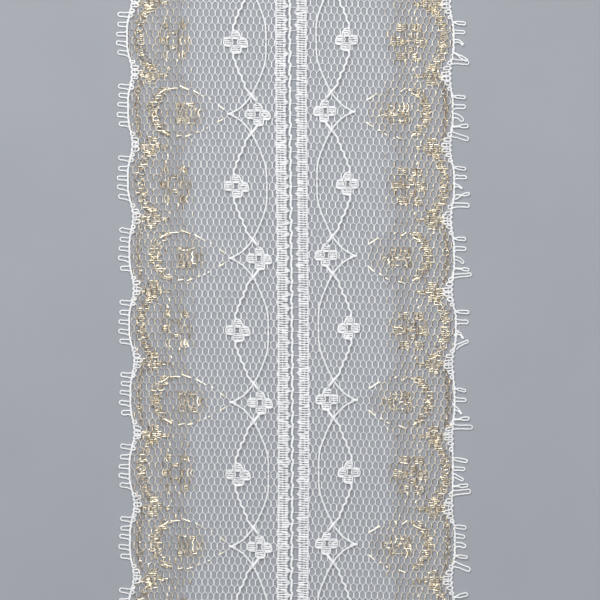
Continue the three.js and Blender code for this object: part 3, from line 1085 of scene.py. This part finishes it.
@dataclass
class GoldInlay(YarnPiece):
    """The metallic pattern near the edge: petals, buds, braided bands and dashed lines."""

    kind = "gold_inlay"
    seed = 71
    slot = Slot.GOLD
    motif: GoldMotif
    height: float = 0.46
    lap: Strand = FlatFoil(0.125, 4, (0.65, 1.0), turn=0.33, twist=0.2)
    lap_pitch: float = 0.52
    lap_places: int = 4
    lap_lean: float = 0.12
    lap_lift: float = 0.03
    lap_stray: float = 0.05
    lap_shares: Span = (0.6, 1.0)
    cell: float = 1.1
    cell_stray: float = 0.08
    wall_stray: float = 0.06
    wall_bow: float = 0.2
    upright: Strand = WoundFoil(0.09, 4, (0.25, 0.7), twist=0.2, most_turn=3.0)
    upright_places: int = 6
    upright_bow: float = 0.12
    upright_drop: float = 0.06
    upright_stray: float = 0.03
    bright: Strand = FlatFoil(0.13, 4, (0.45, 0.85), turn=0.4, twist=0.05)
    bright_bow: float = 0.4
    braid: Strand = WoundFoil(0.085, 4, (0.25, 0.65), twist=0.3, most_turn=3.0)
    braid_places: int = 61
    braid_drop: float = 0.04
    braid_stray: float = 0.04
    braid_room: float = 0.2
    braid_least: float = 0.5
    braid_parts: Triple = (-0.33, 0.0, 0.33)
    braid_lap: float = 0.36
    dash: Strand = FlatFoil(0.13, 4, (0.7, 1.0), turn=0.0, twist=0.04)
    dash_places: int = 5
    dash_lift: float = 0.1
    dash_stray: float = 0.04
    uprights: Chart = ((27.2, -2.7, 2.6), (29.8, -2.4, 2.2), (25.0, -2.6, -1.2), (31.7, 1.4, 3.2))
    dots: Chart = ((30.0, 7.6), (30.4, 5.9), (30.2, -4.8), (27.5, -4.8), (29.6, -6.9))
    dot_half: Span = (0.1, 0.35)
    valleys: Span = (9.9, -8.4)
    valley_fill: float = 0.85
    valley_stacks: Chart = (
        (35.9, 0.0, 2.4, 4), (33.3, 0.0, 2.4, 4), (31.0, -0.2, 1.8, 2),
        (34.0, 1.83, 2.4, 3), (34.2, -1.83, 2.4, 3),
    )
    border: Band = Band(37.8, 0.8, 1.1, 4.0, 0.45, 0.1)

    def lay_strands(self) -> None:
        """Inlays the pattern up the whole length."""
        draft = self.edging.draft
        motif = self.motif
        dot_u, dot_w = self.dot_half
        for start in draft.repeats():
            flower = start + motif.flower_w
            bud = start - draft.repeat / 2
            stacked = [(flower, motif.flower_stacks, motif.petal_fill)]
            stacked += [(start + valley, self.valley_stacks, self.valley_fill) for valley in self.valleys]
            stacked += [(bud, motif.bud_stacks, motif.bud_fill)]
            for origin, stacks, fill in stacked:
                for stack in stacks:
                    self.lay_stack(origin, stack, fill)
            for upright in self.uprights:
                self.lay_upright(flower, upright, self.upright_bow, self.upright)
            for origin, bows in ((flower, motif.flower_bows), (bud, motif.bud_bows)):
                for bow in bows:
                    self.lay_upright(origin, bow, self.bright_bow, self.bright)
            self.lay_braid(start, motif.festoon)
            self.lay_braid(bud, motif.crescent)
            self.lay_braid(bud, self.border)
            for u, w in self.dots:
                self.lay_dash(start, (u - dot_u, w - dot_w, u + dot_u, w + dot_w))
            for dash in motif.dashes:
                self.lay_dash(bud, dash)

    def lay_lap(self, u: float, w: float, reach: float) -> None:
        """Lays one short lap, its foil turned up by chance.

        Args:
            u: The lap's middle u.
            w: The lap's middle w.
            reach: The lap's length.
        """
        share = np.linspace(-0.5, 0.5, self.lap_places)
        rows = w + self.stray(self.lap_lean) * share
        self.lay((u + reach * share, rows, self.height + self.stray(self.lap_lift)), self.lap)

    def lay_stack(self, origin: float, stack: Row, fill: float) -> None:
        """Lays one stack of short laps between uprights.

        Args:
            origin: Where the stack's w is counted from.
            stack: The stack's u, w, length of a lap and number of laps.
            fill: Share of the laps that are laid.
        """
        u, w, width, laps = stack
        cells = max(1, round(width / self.cell))
        cell = width / cells
        tall = laps * self.lap_pitch / 2
        for number in range(cells):
            middle = u + (number - (cells - 1) / 2) * cell + self.stray(self.cell_stray)
            for lap in range(int(laps)):
                at = origin + w + (lap - (laps - 1) / 2) * self.lap_pitch + self.stray(self.lap_stray)
                if self.happens(fill):
                    self.lay_lap(middle, at, cell * self.between(*self.lap_shares))
        for number in range(cells + 1):
            side = u + (number - cells / 2) * cell + self.stray(self.wall_stray)
            self.lay_upright(origin, (side, w - tall, w + tall), self.wall_bow, self.upright)

    def lay_upright(self, origin: float, upright: Row, bow: float, foil: Strand) -> None:
        """Lays one upright that bows out in each row of the net.

        Args:
            origin: Where the upright's w is counted from.
            upright: Its u, and its lower and upper w.
            bow: How far it bows out.
            foil: The kind of foil.
        """
        u, low, high = upright
        rows = max(1, round((high - low) / self.edging.draft.row))
        w = np.linspace(low, high, self.upright_places * rows + 1)
        out = u + bow * np.abs(np.sin(math.pi * rows * (w - low) / (high - low)))
        out = out + self.stray(self.upright_stray, len(w))
        self.lay((out, origin + w, self.height - self.upright_drop), foil)

    def lay_braid(self, origin: float, band: Band) -> None:
        """Lays a band of two strands that cross in every row, with laps between them.

        Args:
            origin: Where the band's w is counted from.
            band: The band.
        """
        row = self.edging.draft.row
        share = np.linspace(-1.0, 1.0, self.braid_places)
        u = band.u - band.drop * share**2
        w = origin + band.w + band.rows * row * share
        wave = np.sin(math.pi * (w - w[0]) / row)
        for way in (1, -1):
            out = u + way * band.half * wave + self.stray(self.braid_stray, len(w))
            self.lay((out, w, self.height - self.braid_drop * way), self.braid)
        for at in np.arange(w[0] + self.braid_room, w[-1], self.lap_pitch):
            reach = self.braid_least + 2.0 * band.half * abs(float(np.interp(at, w, wave)))
            for part in self.braid_parts:
                if self.happens(band.fill):
                    middle = float(np.interp(at, w, u)) + part * reach
                    self.lay_lap(middle, at + self.stray(self.lap_stray), self.braid_lap * reach)

    def lay_dash(self, origin: float, dash: Row) -> None:
        """Lays one bright dash of yarn floated over the net.

        Args:
            origin: Where the dash's w is counted from.
            dash: Its first u and w, then its last.
        """
        ends = np.array(dash).reshape(2, 2) + (0.0, origin)
        line = np.linspace(*ends, self.dash_places)
        u, w = (line + self.stray(self.dash_stray, line.shape)).T
        self.lay((u, w, self.height + self.dash_lift), self.dash)


@dataclass(frozen=True)
class Loop:
    """One hairpin loop.

    It has its place on the lobe, its lean in degrees, and how its legs bow and cross. The mouth is how wide
    it is at the cord, as a share of its width, and the neck is the share of its reach that stays so.
    """

    at: float
    lean: float
    reach: float
    width: float
    bow: float = 0.0
    cross: float = 0.0
    mouth: float = 1.25
    neck: float = 0.0


NEAT_LOOPS = (
    (
        Loop(5.4, 7, 2.8, 1.2), Loop(2.95, 1, 2.3, 1.2), Loop(0.5, 2, 2.55, 1.1),
        Loop(-2.0, 9, 2.6, 1.2), Loop(-4.4, 5, 2.65, 1.2),
    ),
    (
        Loop(5.35, 5, 2.8, 1.2), Loop(3.15, 3, 2.3, 1.15), Loop(0.85, 6, 2.5, 1.1),
        Loop(-1.8, 7, 2.7, 1.2), Loop(-4.05, 2, 2.4, 1.2),
    ),
)
LOOSE_LOOPS = (
    (
        Loop(4.0, -2, 3.4, 0.95, mouth=0.4, neck=0.1), Loop(1.45, 1, 3.0, 1.1), Loop(-0.9, -105, 1.7, 0.7),
        Loop(-1.3, -42, 2.3, 0.8, 0.2, 0.6), Loop(-4.9, 29, 3.7, 0.8, mouth=2.2),
    ),
    (
        Loop(4.25, -5, 3.05, 0.95, mouth=0.4, neck=0.1), Loop(1.75, 1, 2.9, 1.05),
        Loop(-0.75, -23, 2.55, 0.95, 0.2), Loop(-3.3, -2, 3.7, 0.85, mouth=0.3, neck=0.4),
        Loop(-5.3, 7, 4.6, 0.95),
    ),
    (
        Loop(4.0, -7, 3.05, 0.95, mouth=0.5, neck=0.1), Loop(1.6, -1, 3.05, 0.95),
        Loop(-0.6, -22, 1.95, 0.8, 0.2, 0.5), Loop(-3.6, 19, 4.0, 1.0, 0.1, 1.8),
        Loop(-5.65, -1, 4.15, 1.15, 0.1),
    ),
    (
        Loop(3.75, -2, 3.2, 0.9, mouth=0.5, neck=0.1), Loop(1.15, 3, 3.1, 1.1),
        Loop(-1.15, -23, 2.8, 1.15, 0.25), Loop(-3.95, 1, 3.9, 1.0, mouth=0.25, neck=0.4),
        Loop(-5.9, -12, 4.4, 1.2),
    ),
    (
        Loop(4.25, -5, 3.15, 0.9, mouth=0.4, neck=0.1), Loop(1.85, 0, 2.7, 0.9),
        Loop(-0.5, -18, 2.5, 0.9, 0.35, 0.3), Loop(-3.5, -25, 3.9, 0.8, mouth=0.3, neck=0.3),
        Loop(-5.7, -1, 4.3, 1.2),
    ),
    (
        Loop(4.7, 13, 3.6, 1.0, mouth=0.3, neck=0.15), Loop(1.8, 0, 2.8, 1.05),
        Loop(-0.7, -20, 2.4, 1.0, 0.2), Loop(-3.4, 0, 3.6, 0.9, mouth=0.3, neck=0.4),
        Loop(-5.4, 2, 4.3, 1.15),
    ),
    (
        Loop(4.3, -2, 2.9, 1.05, mouth=0.7), Loop(2.0, -2, 2.4, 1.05), Loop(-0.3, -6, 2.7, 1.15, 0.15),
        Loop(-3.1, -8, 3.15, 0.85, mouth=0.4, neck=0.15), Loop(-5.2, -19, 4.4, 1.25),
    ),
    (
        Loop(3.2, -11, 3.6, 1.0, mouth=0.6), Loop(0.75, -3, 2.95, 0.95), Loop(-1.05, -24, 2.75, 0.95),
        Loop(-3.8, 5, 3.75, 0.95, mouth=0.3, neck=0.3), Loop(-5.5, 6, 4.55, 1.25),
    ),
    (
        Loop(2.75, -7, 2.8, 0.85, mouth=0.3, neck=0.15), Loop(0.0, 1, 2.8, 1.0),
        Loop(-2.3, -38, 2.2, 0.85, 0.1, 0.6), Loop(-5.1, 12, 3.85, 0.95, mouth=0.3, neck=0.4),
        Loop(-7.0, 1, 4.9, 1.15),
    ),
)


@dataclass
class PicotEdge(YarnPiece):
    """The scalloped edge cord with knotted rings in its valleys and hairpin loops on its lobes."""

    kind = "picots"
    seed = 81
    loops: tuple[tuple[Loop, ...], ...]
    lump: float
    ring_shift: float
    height: float = 0.32
    cord: Strand = Strand(0.2, 6, (0.85,))
    cord_step: float = 0.2
    cord_insets: Span = (0.24, 0.38)
    cord_knob: float = 0.07
    cord_swell: float = 0.03
    cord_lump_share: float = 0.6
    stitches: int = 14
    ring: Strand = Strand(0.215, 6, (0.6, 1.0))
    rings: tuple[int, int] = (-2, 4)
    ring_places: int = 9
    ring_half: float = 0.4
    ring_half_stray: float = 0.04
    ring_least: float = 1.15
    ring_reach_stray: float = 0.1
    ring_stray: float = 0.05
    ring_lean: float = 0.13
    ring_lift: float = 0.06
    chain: Strand = Strand(0.15, 5, (0.8,))
    chain_reach: Span = (-1.4, 1.1)
    chain_stray: float = 0.1
    chain_lift: float = 0.1
    hairpin: Strand = Strand(0.195, 6, (0.7, 0.95))
    spread: float = 0.2
    leg_root: float = -0.35
    leg_places: int = 9
    leg_stray: float = 0.03
    neck_length: float = 0.3
    cross_span: Span = (0.2, 0.75)
    slack: float = 2.0
    loop_drop: float = 0.08
    loop_over: float = 0.2

    def lay_strands(self) -> None:
        """Lays the cord, the rings in the valleys and the loops."""
        edging = self.edging
        draft = edging.draft
        w = draft.stations(self.cord_step)
        knobs = draft.valley(w)
        pitch = draft.lobe / self.stitches
        beat = np.cos(2 * math.pi * (w - draft.lobe_w - draft.lobe / 2 - self.ring_shift) / pitch)
        for inset in self.cord_insets:
            wave = (self.lump + self.cord_knob * knobs) * beat
            u = edging.cord_outer(w) - inset + wave + self.stray(self.lump, len(w))
            uneven = self.stray(self.cord_lump_share * self.lump, len(w))
            thick = self.cord.radius + self.cord_swell * knobs * beat + uneven
            self.lay((u, w, self.height), self.cord, thick)
        for middle in draft.lobes():
            self.lay_rings(middle + draft.lobe / 2, pitch)
            for loop in self.loops[draft.lobe_number(middle) % len(self.loops)]:
                self.lay_loop(middle, loop)

    def lay_rings(self, middle: float, pitch: float) -> None:
        """Lays the knotted rings that fill the thick part of the cord between two lobes, and their chain.

        Args:
            middle: The valley's middle.
            pitch: The way from one ring to the next.
        """
        edging = self.edging
        arc = np.linspace(-0.5, 0.5, self.ring_places) * math.pi
        for number in range(*self.rings):
            w = middle + self.ring_shift - number * pitch
            half = self.ring_half + self.stray(self.ring_half_stray)
            outer = float(edging.cord_outer(w))
            inner = min(float(edging.cord_inner(w)), outer - self.ring_least)
            inner += self.stray(self.ring_reach_stray)
            outer -= self.cord.radius
            bend = inner + half
            u = np.concatenate([[outer], bend - half * np.cos(arc), [outer]])
            rows = w + half * np.concatenate([[-1.0], np.sin(arc), [1.0]])
            rows = rows + self.stray(self.ring_stray, len(u))
            rows = rows + self.stray(self.ring_lean) * (outer - u)
            self.lay((u, rows, self.height + self.ring_lift), self.ring)
        low, high = self.chain_reach
        w = np.arange(middle + low, middle + high, self.cord_step)
        u = (edging.cord_inner(w) + edging.cord_outer(w)) / 2 + self.stray(self.chain_stray, len(w))
        self.lay((u, w, self.height + self.chain_lift), self.chain)

    def lay_loop(self, middle: float, loop: Loop) -> None:
        """Lays one hairpin loop.

        Args:
            middle: The lobe's middle.
            loop: The loop.
        """
        places = self.leg_places
        root = middle + loop.at
        half = (loop.width + self.spread) / 2 - self.hairpin.radius
        tip = loop.reach - self.hairpin.radius - half
        legs = np.linspace(self.leg_root, tip, places)
        arc = np.linspace(0.0, math.pi, places)[1:-1]
        out = np.concatenate([legs, tip + half * np.sin(arc), legs[::-1]])
        across = np.concatenate([np.full(places, half), half * np.cos(arc), np.full(places, -half)])
        along = np.clip(out / tip, 0.0, 1.0)
        mouth = 1.0 + (loop.mouth - 1.0) * ease(loop.neck + self.neck_length, loop.neck, along)
        across = across * mouth * (1.0 - loop.cross * ease(*self.cross_span, along))
        across = across + loop.bow * np.sin(math.pi * along) + self.stray(self.leg_stray, len(across))
        turn = math.radians(loop.lean + self.stray(self.slack))
        u = float(self.edging.cord_outer(root)) + out * math.cos(turn) - across * math.sin(turn)
        w = root + out * math.sin(turn) + across * math.cos(turn)
        over = self.loop_over if loop.cross or loop.neck else 0.0
        z = self.height - self.loop_drop + np.linspace(0.0, over, len(out))
        self.lay((u, w, z), self.hairpin)


@dataclass
class LaceHalf:
    """One half of the galloon, from its heading out to its loops."""

    edging: Edging
    motif: GoldMotif
    flower_stretch: float
    loops: tuple[tuple[Loop, ...], ...]
    lump: float
    ring_shift: float

    def build(self, ground_white: Material, white: Material, gold: Material) -> None:
        """Makes the half's pieces, declares its net as cloth and says which solids they stand for.

        Args:
            ground_white: The net yarn's finish.
            white: The thick yarn's finish.
            gold: The metallic yarn's finish.
        """
        edging = self.edging
        net = NetGround(edging)
        ground = net.build(ground_white)
        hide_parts(f"band_{edging.label}")
        carried = [
            GoldGround(edging, net, self.motif.ground_from).build(gold),
            Heading(edging).build(white),
            GimpLines(edging).build(white),
            BlockFlowers(edging, self.flower_stretch).build(white),
            GoldInlay(edging, self.motif).build(gold),
        ]
        picots = PicotEdge(edging, self.loops, self.lump, self.ring_shift).build(white)
        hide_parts(f"picot_{edging.label}")


@dataclass
class DrawThread(YarnPiece):
    """The loose thread down the middle, laid out with the left edging, with fine rungs to both headings."""

    kind = "drawn_thread"
    seed = 91
    alike = True
    other: Edging
    height: float = 0.4
    pitch: float = 3.05
    overrun: float = 2.0
    jog: float = 0.17
    jog_shares: Span = (0.4, 1.4)
    jog_places: Triple = (0.0, 0.45, 0.8)
    jog_ways: Triple = (1.0, 0.2, -1.0)
    bends: int = 4
    thread: Strand = Strand(0.31, 7, (0.9,))
    knob: float = 0.045
    knob_length: float = 1.1
    lump: float = 0.015
    rung: Strand = Strand(0.07, 5, (0.5, 0.8))
    rung_end: float = 0.12
    rung_place: float = 0.55
    rung_inset: float = 0.2
    rung_lean: float = 0.15
    rung_drop: float = 0.1
    rung_places: int = 6

    @property
    def name(self) -> str:
        """Gives the thread's name, which has no side."""
        return self.kind

    def lay_strands(self) -> None:
        """Lays the thread and its rungs."""
        draft = self.edging.draft
        middle = -self.edging.gap
        line = []
        for w in draft.stations(self.pitch, self.overrun):
            jog = self.jog * self.between(*self.jog_shares)
            for way, share in zip(self.jog_ways, self.jog_places):
                line.append((middle + way * jog, w + share * self.pitch))
            self.lay_rung(w + self.rung_place * self.pitch)
        u, w = smooth_path(line, self.bends).T
        thick = self.thread.radius + self.knob * np.sin(2 * math.pi * w / self.knob_length)
        thick = thick + self.stray(self.lump, len(w))
        self.lay((u, w, self.height), self.thread, thick)

    def lay_rung(self, w: float) -> None:
        """Lays one fine rung from heading to heading.

        Args:
            w: The rung's place up the length.
        """
        share = np.linspace(0.0, 1.0, self.rung_places)
        u = self.rung_inset - share * (self.edging.gap + self.other.gap + 2 * self.rung_inset)
        rows = w + self.stray(self.rung_lean) * share
        thick = np.linspace(self.rung.radius, self.rung_end, self.rung_places)
        self.lay((u, rows, self.height - self.rung_drop), self.rung, thick)


@dataclass(frozen=True)
class SoftLight:
    """One square studio light, with its place and size in metres and its power in watts."""

    name: str
    place: Triple
    size: float
    power: float

    def hang(self) -> None:
        """Hangs the light, aimed at the lace."""
        light = bpy.data.lights.new(self.name, "AREA")
        light.size = self.size
        light.energy = self.power
        lamp = bpy.data.objects.new(self.name, light)
        lamp.location = self.place
        lamp.rotation_euler = (-Vector(self.place)).to_track_quat("-Z", "Y").to_euler()
        bpy.context.scene.collection.objects.link(lamp)


@dataclass
class Studio:
    """The pale floor, the soft lights and the camera above them, in metres."""

    view_width: float = 0.1524
    aim_x: float = 0.0013
    lens: float = 200.0
    sensor: float = 36.0
    floor_reach: float = 1.5
    room_colour: Colour = (0.93, 0.96, 1.0)
    room_light: float = 0.26
    lights: tuple[SoftLight, ...] = (
        SoftLight("key_light", (-0.32, 0.48, 0.576), 0.26, 3.6),
        SoftLight("top_light", (0.0, 0.06, 0.95), 0.5, 3.2),
        SoftLight("right_fill", (0.576, 0.19, 0.576), 0.4, 1.5),
    )

    def build(self) -> None:
        """Sets the floor, the lights and the camera."""
        self.build_floor()
        for light in self.lights:
            light.hang()
        world = bpy.data.worlds.new("soft_room")
        world.use_nodes = True
        background = world.node_tree.nodes["Background"]
        background.inputs["Color"].default_value = (*self.room_colour, 1.0)
        background.inputs["Strength"].default_value = self.room_light
        bpy.context.scene.world = world
        bpy.context.scene.view_settings.view_transform = "Standard"
        self.build_camera()

    def build_floor(self) -> None:
        """Lays the floor under the lace."""
        mesh = bpy.data.meshes.new("floor")
        far = self.floor_reach
        corners = [(-far, -far, 0.0), (far, -far, 0.0), (far, far, 0.0), (-far, far, 0.0)]
        mesh.from_pydata(corners, [], [(0, 1, 2, 3)])
        mesh.materials.append(FloorFinish().material())
        floor = bpy.data.objects.new("floor", mesh)
        bpy.context.scene.collection.objects.link(floor)
        log.info("floor: laid")

    def build_camera(self) -> None:
        """Hangs the camera straight above the lace."""
        data = bpy.data.cameras.new("camera")
        data.lens = self.lens
        data.sensor_width = self.sensor
        camera = bpy.data.objects.new("camera", data)
        camera.location = (self.aim_x, 0.0, self.view_width * self.lens / self.sensor)
        bpy.context.scene.collection.objects.link(camera)
        bpy.context.scene.camera = camera


def main() -> None:
    """Builds the lace's pieces in order and sets the studio."""
    logging.basicConfig(level=logging.INFO, format="%(name)s %(message)s")
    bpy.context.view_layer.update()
    draft = Draft()
    left_gap = 1.1
    middle_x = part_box("band_left")[1][0] / MM + left_gap
    left = Edging(
        Side.LEFT, draft, middle_x, gap=left_gap, lift=0.0, slope=0.014,
        lobe_edges=(40.55, 40.35), valley_edge=39.3, wedge=2.1, tie_reach=0.9, tie_share=0.95,
    )
    right = Edging(
        Side.RIGHT, draft, middle_x, gap=1.7, lift=1.27, slope=-0.036,
        lobe_edges=(40.2, 39.9, 40.1, 39.9, 40.2, 40.0, 39.95, 39.35, 39.75), valley_edge=39.15,
        wedge=2.3, tie_reach=0.7, tie_share=0.65,
    )
    ground_white = WhiteFinish("ground_yarn").material()
    white = WhiteFinish("thick_yarn").material()
    gold = GoldFinish("gold_foil").material()
    left_half = LaceHalf(
        left, LEFT_GOLD, flower_stretch=0.98, loops=NEAT_LOOPS, lump=0.024, ring_shift=0.05,
    )
    left_half.build(ground_white, white, gold)
    right_half = LaceHalf(
        right, RIGHT_GOLD, flower_stretch=0.88, loops=LOOSE_LOOPS, lump=0.06, ring_shift=0.45,
    )
    right_half.build(ground_white, white, gold)
    thread = DrawThread(left, right).build(white)
    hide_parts("draw_thread")
    Studio().build()


if __name__ == "__main__":
    main()
